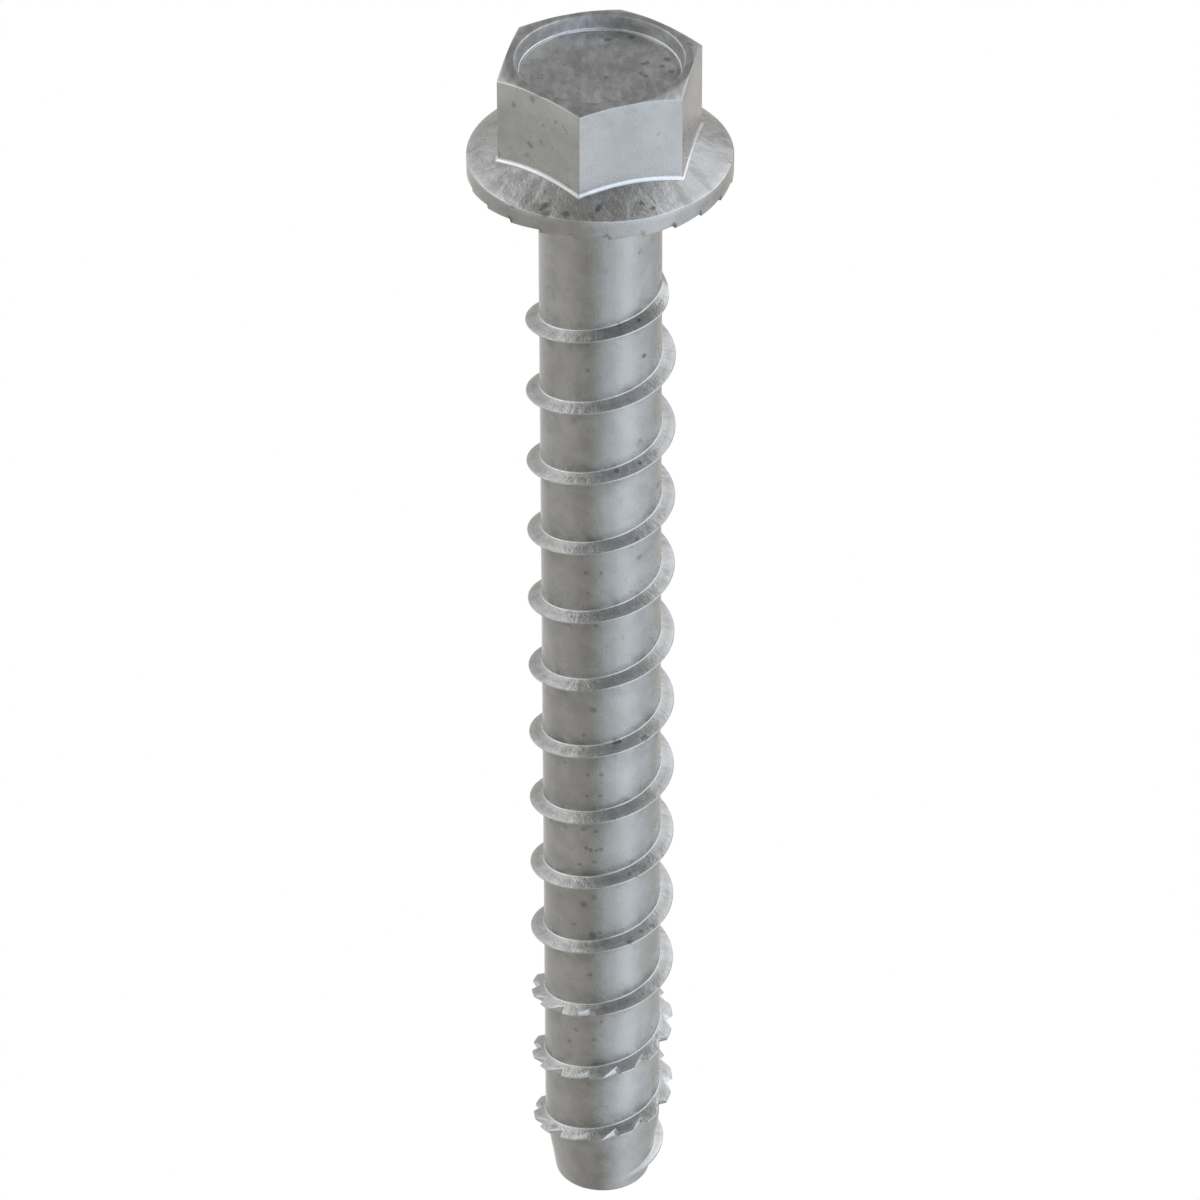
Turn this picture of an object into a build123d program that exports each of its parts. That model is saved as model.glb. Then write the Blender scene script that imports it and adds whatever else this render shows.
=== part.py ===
from build123d import *
import os
from math import cos, floor, radians, sin, tan

# Driving sizes, in mm and degrees. The screw is drawn upright: Z runs up its axis to the
# head, and z = 0 is the bearing plane, at the tips of the teeth under the flange.

# Shank
length_under_head = 127.0
core_diameter = 12.35
neck_chamfer = 0.4
tip_diameter = 10.1
tip_taper = 7.3
tip_edge_chamfer = 0.25

# Thread
crest_diameter = 15.15
pitch = 8.53
thread_foot = 1.24
thread_land = 0.16
thread_sunk = 1.6

# Where the thread begins under the head, and how it fades out at both ends
plain_shank = 12.7
thread_start_angle = 22.0
start_run_out = 60.0
plain_tip = 1.85
tip_run_out = 55.0
run_out_sunk = 0.1
run_out_overrun = 18.0
tip_crest_taper = 7.9
tip_crest_diameter = 12.3

# Saw teeth cut into the lowest turns
serrated_length = 26.13
smooth_end = 5.2
tooth_spacing = 25.8
tooth_back = 12.0
tooth_step_lean = 2.0
tooth_depth = 0.83

# Hexagon head
head_height = 12.7
across_flats = 18.45
hex_corner_angle = -101.2
head_chamfer_angle = 20.0
head_chamfer_diameter = 18.4
hex_foot_fillet = 0.5

# Recess in the top of the head
recess_diameter = 16.7
recess_floor_diameter = 16.0
recess_depth = 1.25
recess_step = 0.25

# Flange and the ratchet teeth under it
flange_diameter = 26.5
flange_rim = 2.13
flange_slope = 25.0
flange_edge_chamfer = 0.15
ratchet_teeth = 24
ratchet_depth = 0.36
ratchet_step_angle = 3.3

# How far the cutting shapes reach past what they cut
cut_margin = 4.0

# Radii that follow from them
core_radius = core_diameter / 2
tip_radius = tip_diameter / 2
crest_radius = crest_diameter / 2
flange_radius = flange_diameter / 2
flat_radius = across_flats / 2
corner_radius = flat_radius / cos(radians(30))
clear_radius = crest_radius + cut_margin

# Thread height falls by one pitch a turn, counted in degrees down from where it begins
thread_arc = (length_under_head - plain_shank - plain_tip) / pitch * 360


def thread_angle(arc):
    """Angle about the axis of the crest, arc degrees down from the top of the thread."""
    return thread_start_angle - arc


def thread_z(arc):
    """Height of the crest, arc degrees down from the top of the thread."""
    return -plain_shank - pitch * arc / 360


def arc_at(z):
    """Degrees down from the top of the thread at which the crest is at height z."""
    return (-plain_shank - z) / pitch * 360


def polar(radius, angle):
    """A point seen along the axis."""
    return (radius * cos(radians(angle)), radius * sin(radians(angle)))


# Shank: a plain round core with a tapered tip, widened a little where it meets the flange
with BuildPart() as core:
    with BuildSketch(Plane.XZ) as core_half:
        with BuildLine():
            Polyline(
                (0, flange_rim),
                (core_radius + neck_chamfer, flange_rim),
                (core_radius + neck_chamfer, 0),
                (core_radius, -neck_chamfer),
                (core_radius, tip_taper - length_under_head),
                (tip_radius, -length_under_head),
                (0, -length_under_head),
                close=True,
            )
        make_face()
        tip_corner = core_half.vertices().group_by(Axis.Y)[0].sort_by(Axis.X)[-1]
        chamfer(tip_corner, tip_edge_chamfer)
    revolve(axis=Axis.Z)

# What the tip's taper takes off the thread: all outside a cone
tip_crest_radius = tip_crest_diameter / 2
crest_slope = (crest_radius - tip_crest_radius) / tip_crest_taper
tip_cone_top = tip_crest_taper + cut_margin - length_under_head
with BuildPart() as tip_cone:
    with BuildSketch(Plane.XZ):
        with BuildLine():
            Polyline(
                (tip_crest_radius - crest_slope * cut_margin, -length_under_head - cut_margin),
                (crest_radius + crest_slope * cut_margin, tip_cone_top),
                (clear_radius, tip_cone_top),
                (clear_radius, -length_under_head - cut_margin),
                close=True,
            )
        make_face()
    revolve(axis=Axis.Z)

# Thread run-outs, seen along the axis: everything outside an arc that sinks into the core
bottom_arc = thread_arc + run_out_overrun
crest_at_end = crest_radius - crest_slope * (tip_crest_taper - plain_tip)
core_at_end = core_radius - (core_radius - tip_radius) * (1 - plain_tip / tip_taper)
with BuildPart() as run_outs:
    for full_arc, bare_arc, past_arc, full_radius, bare_radius in (
        (start_run_out, 0, -run_out_overrun, crest_radius, core_radius),
        (thread_arc - tip_run_out, thread_arc, bottom_arc, crest_at_end, core_at_end),
    ):
        low = min(thread_z(full_arc), thread_z(past_arc)) - thread_foot
        high = max(thread_z(full_arc), thread_z(past_arc)) + thread_foot
        full, bare, past = (thread_angle(arc) for arc in (full_arc, bare_arc, past_arc))
        sunk_radius = bare_radius - run_out_sunk
        middle_radius = (full_radius + sunk_radius) / 2
        with BuildSketch(Plane.XY.offset(low)):
            with BuildLine():
                ThreePointArc(
                    polar(full_radius, full),
                    polar(middle_radius, (full + bare) / 2),
                    polar(sunk_radius, bare),
                )
                Polyline(
                    polar(sunk_radius, bare),
                    polar(sunk_radius, past),
                    polar(clear_radius, past),
                    polar(clear_radius, (full + past) / 2),
                    polar(clear_radius, full),
                    polar(full_radius, full),
                )
            make_face()
        extrude(amount=high - low)

# One notch for each saw tooth: a steep step, and a straight back that climbs to the crest
first_tooth_arc = arc_at(serrated_length - length_under_head)
last_tooth_arc = arc_at(smooth_end - length_under_head)
tooth_count = floor((last_tooth_arc - first_tooth_arc) / tooth_spacing) + 1
notch_radius = crest_radius - tooth_depth
with BuildPart() as notches:
    for tooth in range(tooth_count):
        arc = first_tooth_arc + tooth * tooth_spacing
        foot = Vector(*polar(notch_radius, thread_angle(arc + tooth_step_lean)))
        step = Vector(*polar(crest_radius, thread_angle(arc)))
        back = Vector(*polar(crest_radius, thread_angle(arc + tooth_step_lean + tooth_back)))
        with BuildSketch(Plane.XY.offset(thread_z(arc) - pitch / 2)):
            with BuildLine():
                Polyline(foot, foot + (step - foot) * 3, foot + (back - foot) * 2, close=True)
            make_face()
        extrude(amount=pitch)

# Thread: one right-hand turn after another, swept along its helix and set in its place
flank_slope = (thread_foot - thread_land) / (crest_radius - core_radius)
sunk_foot = thread_foot + thread_sunk * flank_slope
with BuildPart() as swept_thread:
    with BuildLine() as helix:
        Helix(pitch, pitch * (bottom_arc + run_out_overrun) / 360, core_radius)
    with BuildSketch(Plane.XZ):
        with BuildLine():
            Polyline(
                (core_radius - thread_sunk, -sunk_foot / 2),
                (crest_radius, -thread_land / 2),
                (crest_radius, thread_land / 2),
                (core_radius - thread_sunk, sunk_foot / 2),
                close=True,
            )
        make_face()
    sweep(path=helix.line, is_frenet=True)
with BuildPart() as thread:
    with Locations(Location((0, 0, thread_z(bottom_arc)), (0, 0, thread_angle(bottom_arc)))):
        add(swept_thread.part)
    add(tip_cone.part, mode=Mode.SUBTRACT)
    add(run_outs.part, mode=Mode.SUBTRACT)
    add(notches.part, mode=Mode.SUBTRACT)

# Flange: a flat cone with a short rim
cone_top_radius = flat_radius - hex_foot_fillet
cone_top = flange_rim + (flange_radius - cone_top_radius) * tan(radians(flange_slope))
with BuildPart() as head:
    with BuildSketch(Plane.XZ) as flange_half:
        with BuildLine():
            Polyline(
                (0, 0),
                (flange_radius, 0),
                (flange_radius, flange_rim),
                (cone_top_radius, cone_top),
                (0, cone_top),
                close=True,
            )
        make_face()
        rim_corner = flange_half.vertices().group_by(Axis.X)[-1].sort_by(Axis.Y)[-1]
        chamfer(rim_corner, flange_edge_chamfer)
    revolve(axis=Axis.Z)

# Hexagon with its corners turned off by a shallow cone
chamfer_radius = head_chamfer_diameter / 2
chamfer_drop = (corner_radius - chamfer_radius) * tan(radians(head_chamfer_angle))
with BuildPart() as hexagon:
    with BuildSketch(Plane.XY.offset(flange_rim / 2)):
        RegularPolygon(flat_radius, 6, major_radius=False, rotation=hex_corner_angle)
    extrude(amount=head_height - flange_rim / 2)
    with BuildSketch(Plane.XZ):
        with BuildLine():
            Polyline(
                (0, 0),
                (corner_radius, 0),
                (corner_radius, head_height - chamfer_drop),
                (chamfer_radius, head_height),
                (0, head_height),
                close=True,
            )
        make_face()
    revolve(axis=Axis.Z, mode=Mode.INTERSECT)

# One gap between ratchet teeth: a wedge that narrows to the axis
half_tooth = 180 / ratchet_teeth
with BuildPart() as ratchet_gap:
    for radius in (flange_radius * 1.1, core_radius / 2):
        half_width = radius * tan(radians(half_tooth))
        depth = ratchet_depth * radius / flange_radius
        with BuildSketch(Plane((radius, 0, 0), x_dir=(0, 1, 0), z_dir=(1, 0, 0))):
            with BuildLine():
                Polyline((-half_width, 0), (half_width, 0), (half_width, depth), close=True)
            make_face()
    loft(ruled=True)

# Head and shank together, upright
recess_floor = head_height - recess_depth - recess_step
with BuildPart() as upright:
    add(head.part)
    with PolarLocations(0, ratchet_teeth, start_angle=ratchet_step_angle + half_tooth):
        add(ratchet_gap.part, mode=Mode.SUBTRACT)
    add(hexagon.part)
    # Fillet round the foot of the hexagon
    hex_foot = upright.edges().filter_by(GeomType.HYPERBOLA)
    fillet(hex_foot.filter_by_position(Axis.Z, flange_rim, cone_top), hex_foot_fillet)
    # Recess in the top of the head, with a slight step at the foot of its wall
    with BuildSketch(Plane.XZ):
        with BuildLine():
            Polyline(
                (0, recess_floor),
                (recess_floor_diameter / 2, recess_floor),
                (recess_floor_diameter / 2, head_height - recess_depth),
                (recess_diameter / 2, head_height),
                (0, head_height),
                close=True,
            )
        make_face()
    revolve(axis=Axis.Z, mode=Mode.SUBTRACT)
    add(core.part)
    add(thread.part)

# Lying down the screw would roll, so it stands on the flat top of its head, tip up
with BuildPart() as concrete_screw:
    with Locations(Location((0, 0, head_height), (0, 180, 0))):
        add(upright.part)

concrete_screw.part.label = "concrete_screw"
os.makedirs("parts", exist_ok=True)
export_step(concrete_screw.part, "parts/concrete_screw.step")
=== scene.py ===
import math

import bmesh
import bpy
import numpy as np
from bpy.props import FloatProperty, FloatVectorProperty, IntProperty, PointerProperty
from mathutils import Matrix, Vector


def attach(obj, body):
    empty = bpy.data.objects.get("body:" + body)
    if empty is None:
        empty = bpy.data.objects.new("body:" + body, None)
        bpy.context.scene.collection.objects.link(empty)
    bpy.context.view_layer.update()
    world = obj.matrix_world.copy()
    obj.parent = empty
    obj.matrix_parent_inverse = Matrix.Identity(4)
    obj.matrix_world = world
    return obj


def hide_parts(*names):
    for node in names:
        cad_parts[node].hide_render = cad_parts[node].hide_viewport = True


bl_info = {
    "name": "Concrete screw",
    "version": (1, 0, 0),
    "blender": (4, 5, 0),
    "location": "3D View > Sidebar > Concrete screw",
    "description": "Galvanised concrete screw with a hexagon flange head and saw-toothed thread",
    "category": "Add Mesh",
}

# The shapes are worked out upright, in millimetres and degrees: the screw's axis is Z, the head
# is on top and z = 0 is the bearing plane under the flange. Screw.stand() turns them over onto
# the head, in metres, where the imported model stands.

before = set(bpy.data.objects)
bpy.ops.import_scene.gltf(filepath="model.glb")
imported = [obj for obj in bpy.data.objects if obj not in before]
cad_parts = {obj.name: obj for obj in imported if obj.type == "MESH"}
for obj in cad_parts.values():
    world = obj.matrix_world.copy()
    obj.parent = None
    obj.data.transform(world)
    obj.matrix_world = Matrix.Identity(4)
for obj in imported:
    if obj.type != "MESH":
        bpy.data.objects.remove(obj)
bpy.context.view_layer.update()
NODE = "concrete_screw"
MM = 0.001
TURN = 360.0

# Columns round the axis, in degrees: the even ones, how far they keep from those at an edge, and
# how near two of those at an edge may come
SHANK_STEP, SHANK_CLEAR, LEAST_GAP = 3.75, 0.9, 0.12
HEAD_STEP, HEAD_CLEAR = 2.5, 0.7
RATCHET_ARC = 0.22

# Small roundings and heights that the sizes leave open, in millimetres
CREST_NIP = 0.05
LEAST_THREAD = 0.02
RIM_NIP = 0.1
WALL_NIP = 0.09
RING_NIP = 0.12
RECESS_LIP = 0.1
FOOT_CORNER = 0.3
NOTCH_CLEAR = 1.0

# Rows of the outlines: shares of the pitch between two turns and of the way round the thread's
# root, and radii under the flange
PLAIN_ROWS = (0.5, 0.36, 0.22, 0.13)
ROOT_ROWS = (0.0, 0.3, 0.65, 1.0)
UNDERSIDE_ROWS = (8.0, 9.5, 11.0, 12.3)

# Shares: most of a low flank that the root fillet takes, and of the run-out that is straight
ROOT_SHARE = 0.42
FADE_STRAIGHT = 0.55

# Looks of the thread, row by row from midway between two turns to the crest: where it is rubbed
# bright on the crest, where a painted highlight runs along the root fillet, where painted shade
# darkens the root, and where it is smeared
ROOT_HIGHLIGHT = (0, 0, 0, 0, 0, 0.4, 0.4, 0, 0, 0, 0)
CREST_LINE = (0, 0, 0, 0, 0, 0, 0, 0, 0, 1, 1)
ROOT_SHADE = (0, 0.1, 0.3, 0.6, 1, 0.2, 0, 0.1, 0.12, 0, 0)
FLANK_SMEAR = (0, 0, 0, 0, 0, 0, 0, 0.6, 0.8, 0.8, 0)
# How bright the crest is, rubbed and with a painted highlight, how much more at a notch this
# deep, and from which share of the run-out
CREST_WEAR_AND_HIGHLIGHT, NOTCH_WEAR_AND_HIGHLIGHT, NOTCH_FULL, WEAR_AND_HIGHLIGHT_FROM = 0.3, 0.6, 0.3, 0.3
# The top of the head is matt inwards of this radius, over this width
MATT_FROM, MATT_FADE = 10.15, 0.35


def size(name, description, default):
    """A length in metres, given in millimetres."""
    return FloatProperty(name=name, description=description, default=default * MM, min=0.0,
                         precision=5, subtype="DISTANCE", unit="LENGTH")


def angle(name, description, default):
    """An angle in radians, given in degrees."""
    return FloatProperty(name=name, description=description, default=math.radians(default),
                         subtype="ANGLE", unit="ROTATION")


def share(name, description, default):
    """A plain number from 0 to 1."""
    return FloatProperty(name=name, description=description, default=default, min=0.0, max=1.0,
                         subtype="FACTOR")


def colour(name, description, default):
    """A linear colour."""
    return FloatVectorProperty(name=name, description=description, default=default, min=0.0,
                               max=1.0, size=3, subtype="COLOR")


class ShankSizes(bpy.types.PropertyGroup):
    """The plain core of the screw, from the flange to the tip."""
    length: size("Length", "From the bearing plane to the tip", 127.0)
    core: size("Core diameter", "Across the plain shank", 12.35)
    neck: size("Neck fillet", "Rounding where the shank meets the flange", 0.4)
    tip: size("Tip diameter", "Across the end of the tip", 10.1)
    taper: size("Tip taper", "Length over which the core narrows to the tip", 7.3)
    end_round: size("End rounding", "Rounding of the tip's edge", 0.3)


class ThreadSizes(bpy.types.PropertyGroup):
    """The right-hand thread."""
    crest: size("Crest diameter", "Across the thread", 15.15)
    pitch: size("Pitch", "Distance from turn to turn", 8.53)
    foot: size("Foot", "Width of the thread where it meets the core", 1.24)
    land: size("Land", "Width of the crest", 0.16)
    root_round: size("Root fillet", "Rounding between thread and core", 0.2)
    plain: size("Plain shank", "From the bearing plane to where the thread starts", 12.7)
    start_angle: angle("Start angle", "Direction in which the thread starts", 22.0)
    start_fade: angle("Start run-out", "Arc over which the thread rises", 60.0)
    plain_tip: size("Plain tip", "From where the thread ends to the tip", 1.4)
    end_fade: angle("End run-out", "Arc over which the thread fades", 74.0)
    crest_taper: size("Crest taper", "Length over which the crest narrows to the tip", 7.9)
    tip_crest: size("Tip crest diameter", "Across the thread's cone at the tip", 12.3)


class ToothSizes(bpy.types.PropertyGroup):
    """The saw teeth cut into the lowest turns of the thread."""
    length: size("Toothed length", "From the first tooth to the tip", 26.13)
    smooth: size("Smooth end", "From the last tooth to the tip", 5.2)
    spacing: angle("Spacing", "Arc from tooth to tooth", 25.8)
    back: angle("Back", "Arc of the slope behind each step", 12.0)
    lean: angle("Lean", "Arc over which each step rises", 2.0)
    depth: size("Depth", "Depth of a notch below the crest", 0.83)


class HeadSizes(bpy.types.PropertyGroup):
    """The hexagon head and the recess in its top."""
    height: size("Height", "From the bearing plane to the top of the head", 12.7)
    flats: size("Across flats", "Distance between opposite flats", 18.45)
    corner_angle: angle("Corner angle", "Direction of one corner", -101.2)
    corner_round: size("Corner rounding", "Rounding of the six upright edges", 0.1)
    chamfer: angle("Chamfer", "Slope of the cone that turns off the corners", 20.0)
    chamfer_ring: size("Ring diameter", "Across the flat ring on top", 18.4)
    foot_round: size("Foot fillet", "Rounding round the foot of the hexagon", 0.5)
    recess: size("Recess diameter", "Across the recess at its rim", 16.7)
    recess_floor: size("Recess floor", "Across the recess at its floor", 16.0)
    recess_depth: size("Recess depth", "Depth of the sloping wall", 1.25)
    recess_step: size("Recess step", "Depth of the step at the foot of the wall", 0.25)


class FlangeSizes(bpy.types.PropertyGroup):
    """The flange and the ratchet teeth under it."""
    diameter: size("Diameter", "Across the flange", 26.5)
    rim: size("Rim", "Height of the rim", 2.13)
    slope: angle("Slope", "Slope of the top of the flange", 25.0)
    edge_round: size("Edge rounding", "Rounding of the rim's edges", 0.22)
    teeth: IntProperty(name="Ratchet teeth", description="Number of teeth under the flange",
                       default=24, min=0)
    tooth_depth: size("Ratchet depth", "Depth of a gap between teeth at the rim", 0.36)
    tooth_angle: angle("Ratchet angle", "Direction of one step", 3.3)


class SteelLook(bpy.types.PropertyGroup):
    """The galvanised steel."""
    light: colour("Light zinc", "Colour of the paler clouds", (0.57, 0.565, 0.555))
    dark: colour("Dark zinc", "Colour of the darker clouds", (0.45, 0.445, 0.43))
    # Also the colour towards which painted shade and painted reflection darken the zinc
    stain_and_shade: colour("Stain", "Colour of the small dark spots", (0.14, 0.14, 0.135))
    # Also the colour of the painted highlights
    bright: colour("Worn zinc", "Colour of the rubbed edges", (0.86, 0.86, 0.85))
    roughness: share("Roughness", "Mean roughness of the zinc", 0.29)


class StageLook(bpy.types.PropertyGroup):
    """The floor and the light round it."""
    floor: colour("Floor", "Colour of the floor", (0.92, 0.92, 0.92))
    floor_glow: share("Floor glow", "What makes the floor near the screw nearly white", 0.32)
    plain: colour("Surroundings", "Light that comes from all sides alike", (0.155, 0.14, 0.095))
    light: FloatProperty(name="Light", description="Brightness of all the lights together",
                         default=1.0, min=0.0)


GROUPS = {
    "screw_shank": ShankSizes,
    "screw_thread": ThreadSizes,
    "screw_teeth": ToothSizes,
    "screw_head": HeadSizes,
    "screw_flange": FlangeSizes,
    "screw_steel": SteelLook,
    "screw_stage": StageLook,
}


def in_mm(group):
    """The group's lengths in millimetres, its angles in degrees and the rest as they are."""
    values = {}
    for key, prop in group.bl_rna.properties.items():
        if key in ("rna_type", "name"):
            continue
        value = getattr(group, key)
        if prop.unit == "LENGTH":
            value = value / MM
        elif prop.unit == "ROTATION":
            value = math.degrees(value)
        values[key] = value
    return type("Sizes", (), values)


def mirrored(values):
    """The values of one half of the thread's outline, and again for the other half."""
    return np.array(values + values[::-1], dtype=float)[None, :]


def arc_to_nearest(angles, marks):
    """Degrees round the axis from each angle to the nearest of the marks."""
    return np.abs(np.mod(angles[:, None] - marks[None, :] + 180, TURN) - 180).min(axis=1)


def with_even(marks, step, clear):
    """The marks, and an even set of angles wherever no mark is near, in order."""
    even = np.arange(0, TURN, step)
    return np.sort(np.concatenate([even[arc_to_nearest(even, marks) > clear], marks]))


def round_axis(radius, theta, z):
    """Points round the axis, one row for each angle. A point is its radius times the cosine and
    the sine of its angle, at its height."""
    a = np.radians(theta)[:, None]
    return np.stack(np.broadcast_arrays(radius * np.cos(a), radius * np.sin(a), z), axis=2)


def bent(start, corner, end, k):
    """The point at a share k of the way along a curve of second degree."""
    a, b, c = (1 - k) ** 2, 2 * k * (1 - k), k * k
    return tuple(a * p + b * q + c * r for p, q, r in zip(start, corner, end))


class Outline:
    """An outline that is carried round the axis: rows of points, one for each angle, and for each
    row its rubbed wear and painted highlight, its painted shade, its smear and painted reflection,
    and how matt it is."""

    def __init__(self, theta):
        self.theta = theta
        self.rows = {key: [] for key in ("radius", "z", "worn", "hollow", "smeared", "matt")}

    def row(self, radius, z, worn=0.0, hollow=0.0, smeared=0.0, matt=0.0):
        values = (radius, z, worn, hollow, smeared, matt)
        for rows, value in zip(self.rows.values(), values):
            rows.append(value * np.ones_like(self.theta))

    def last(self):
        """Radius and height of the last row."""
        return self.rows["radius"][-1], self.rows["z"][-1]

    def grid(self):
        """The points, and the looks by name."""
        looks = {key: np.stack(rows, axis=1) for key, rows in self.rows.items()}
        return round_axis(looks.pop("radius"), self.theta, looks.pop("z")), looks


class Screw:
    """The sizes of the screw, and the surfaces that follow from them."""

    def __init__(self, scene):
        self.shank = in_mm(scene.screw_shank)
        self.thread = in_mm(scene.screw_thread)
        self.teeth = in_mm(scene.screw_teeth)
        self.head = in_mm(scene.screw_head)
        self.flange = in_mm(scene.screw_flange)
        t, s = self.thread, self.shank
        self.core_r = s.core / 2
        self.crest_r = t.crest / 2
        self.arc_end = (s.length - t.plain - t.plain_tip) / t.pitch * TURN
        self.first_tooth = self.arc_at(self.teeth.length - s.length)
        last = self.arc_at(self.teeth.smooth - s.length)
        self.tooth_count = int((last - self.first_tooth) // self.teeth.spacing) + 1

    def stand(self, points):
        """Turned over about Y, so that the top of the head is on the floor, in metres."""
        x, y, z = points[:, 0], points[:, 1], points[:, 2]
        return np.column_stack((-x, y, self.head.height - z)) * MM

    def stand_point(self, point):
        """One point turned over in the same way."""
        return Vector(self.stand(np.array([point], dtype=float))[0])

    def stand_direction(self, vector):
        """A direction turned over in the same way."""
        return Vector((-vector[0], vector[1], -vector[2]))

    def arc_at(self, z):
        """Degrees down from the top of the thread at which the crest is at height z."""
        return (-self.thread.plain - z) / self.thread.pitch * TURN

    def crest_z(self, arc):
        """Height of the crest: one pitch lower for each turn down."""
        return -self.thread.plain - self.thread.pitch * arc / TURN

    def core_radius(self, z):
        """A cylinder that narrows evenly along the taper."""
        s = self.shank
        down = np.clip((s.taper - s.length - z) / s.taper, 0, 1)
        return self.core_r - (self.core_r - s.tip / 2) * down

    def crest_cone(self, z):
        """A cylinder that narrows evenly along the crest's own taper."""
        t = self.thread
        down = np.clip((t.crest_taper - self.shank.length - z) / t.crest_taper, 0, None)
        return self.crest_r - (self.crest_r - t.tip_crest / 2) * down

    def notch_radius(self, arc):
        """Distance from the axis to the saw-tooth line: straight chords from the crest to the
        deep corner and back, along which one over r is a mix of two sines."""
        tooth, low = self.teeth, self.crest_r - self.teeth.depth
        since = arc - self.first_tooth
        in_teeth = (since >= 0) & (since < self.tooth_count * tooth.spacing)
        phase = np.mod(since, tooth.spacing)
        radius = np.full(arc.shape, self.crest_r + NOTCH_CLEAR)
        for a0, a1, r0, r1 in ((0.0, tooth.lean, self.crest_r, low),
                               (tooth.lean, tooth.lean + tooth.back, low, self.crest_r)):
            here = in_teeth & (phase >= a0) & (phase <= a1)
            left, right = np.radians(a1 - phase), np.radians(phase - a0)
            inverse = (np.sin(left) / r0 + np.sin(right) / r1) / math.sin(math.radians(a1 - a0))
            radius = np.where(here, 1.0 / np.where(here, inverse, 1.0), radius)
        return radius

    def fade(self, arc):
        """1 along the thread, falling to 0 over the run-out at each end, in part in a straight
        line and in part smoothly."""
        t = self.thread
        x = np.clip(np.minimum(arc / t.start_fade, (self.arc_end - arc) / t.end_fade), 0, 1)
        return FADE_STRAIGHT * x + (1 - FADE_STRAIGHT) * x * x * (3 - 2 * x)

    def shank_columns(self):
        """Angles of the columns: an even set, and three at each saw tooth."""
        tooth = self.teeth
        arcs = self.first_tooth + tooth.spacing * np.arange(self.tooth_count)
        marks = np.concatenate([arcs, arcs + tooth.lean, arcs + tooth.lean + tooth.back])
        marks = np.sort(np.mod(self.thread.start_angle - marks, TURN))
        marks = marks[np.concatenate([[True], np.diff(marks) > LEAST_GAP])]
        return with_even(marks, SHANK_STEP, SHANK_CLEAR)

    def thread_rows(self, height):
        """Half of the thread's outline, from midway between two turns to the crest: distances
        along the axis from the crest line, and heights above the core. The flank is a straight
        line from foot to land, joined to the core by a curve of second degree, and the crest's
        corner is cut by a short facet."""
        t = self.thread
        full = self.crest_r - self.core_r
        run = (t.foot - t.land) / 2
        flank = math.hypot(run, full)
        out, up = run / flank, full / flank
        inner = math.pi - math.atan2(full, run)
        reach = np.minimum(t.root_round / math.tan(inner / 2), ROOT_SHARE * height / up)
        foot = t.foot / 2
        top = foot - run * height / full
        nip = np.minimum(CREST_NIP, 0.2 * height)
        one = np.ones_like(height)
        rows = [(k * t.pitch * one, 0 * one) for k in PLAIN_ROWS]
        start = (foot + t.root_round / math.tan(inner / 2) * one, 0 * one)
        end = (foot - reach * out, reach * up)
        rows += [bent(start, (foot, 0), end, k) for k in ROOT_ROWS]
        knee = (top + nip * out, height - nip * up)
        rows.append(((end[0] + knee[0]) / 2, (end[1] + knee[1]) / 2))
        rows.append(knee)
        rows.append((np.maximum(top - nip, 0.25 * top), height))
        return rows

    def shank_grid(self):
        """Shank and thread in one strip that winds down the screw. A point's radius is the core's
        plus the thread's outline times its run-out, and heights past the strip's two ends are
        held there."""
        s, t = self.shank, self.thread
        columns = self.shank_columns()
        top, bottom = -s.neck, s.end_round - s.length
        first = math.floor((self.arc_at(top + t.pitch) + t.start_angle) / TURN) - 1
        last = math.ceil((self.arc_at(bottom - t.pitch) + t.start_angle) / TURN) + 1
        turns = np.arange(first, last + 1)
        arc = np.sort((t.start_angle - columns[None, :] + TURN * turns[:, None]).ravel())
        middle = self.crest_z(arc)
        crest = np.minimum(self.crest_cone(middle), self.notch_radius(arc))
        height = np.clip(crest - self.core_radius(middle), LEAST_THREAD, None)
        rows = self.thread_rows(height)
        u = np.stack([r[0] for r in rows] + [-r[0] for r in reversed(rows)], axis=1)
        fade = self.fade(arc)[:, None]
        y = np.stack([r[1] for r in rows + rows[::-1]], axis=1) * fade
        z = np.clip(middle[:, None] + u, bottom, top)
        points = round_axis(self.core_radius(z) + y, t.start_angle - arc, z)
        notch = np.clip((self.crest_cone(middle) - crest) / NOTCH_FULL, 0, 1)[:, None]
        crest_wear_and_highlight = (CREST_WEAR_AND_HIGHLIGHT + NOTCH_WEAR_AND_HIGHLIGHT * notch) * (fade > WEAR_AND_HIGHLIGHT_FROM)
        # Rubbed crests, the painted highlight along the root fillet, painted shade at the root,
        # and smears
        looks = {
            "worn": mirrored(ROOT_HIGHLIGHT) * fade + mirrored(CREST_LINE) * crest_wear_and_highlight,
            "hollow": mirrored(ROOT_SHADE) * fade,
            "smeared": mirrored(FLANK_SMEAR) * fade,
        }
        return points, looks, columns, top, bottom

    def tip_grid(self, columns, bottom):
        """The rounded edge of the tip and its flat end: a quarter circle, then a disc to the
        axis, turned about Z."""
        s = self.shank
        edge = float(self.core_radius(np.array(bottom)))
        bend = np.radians(np.array([0, 22, 45, 68, 90]))
        low = edge - s.end_round * (1 - np.cos(bend))
        drop = bottom - s.end_round * np.sin(bend)
        radius = np.concatenate([low, low[-1] * np.array([0.8, 0.5, 0.2, 0.0])])
        z = np.concatenate([drop, np.full(4, drop[-1])])
        # The rounded edge of the tip is rubbed bright, partly a painted highlight
        worn = np.concatenate([[0, 0.3, 0.5, 0.3, 0], np.zeros(4)])
        points = round_axis(radius, columns, z)
        return points, {"worn": np.broadcast_to(worn, points.shape[:2])}

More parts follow.
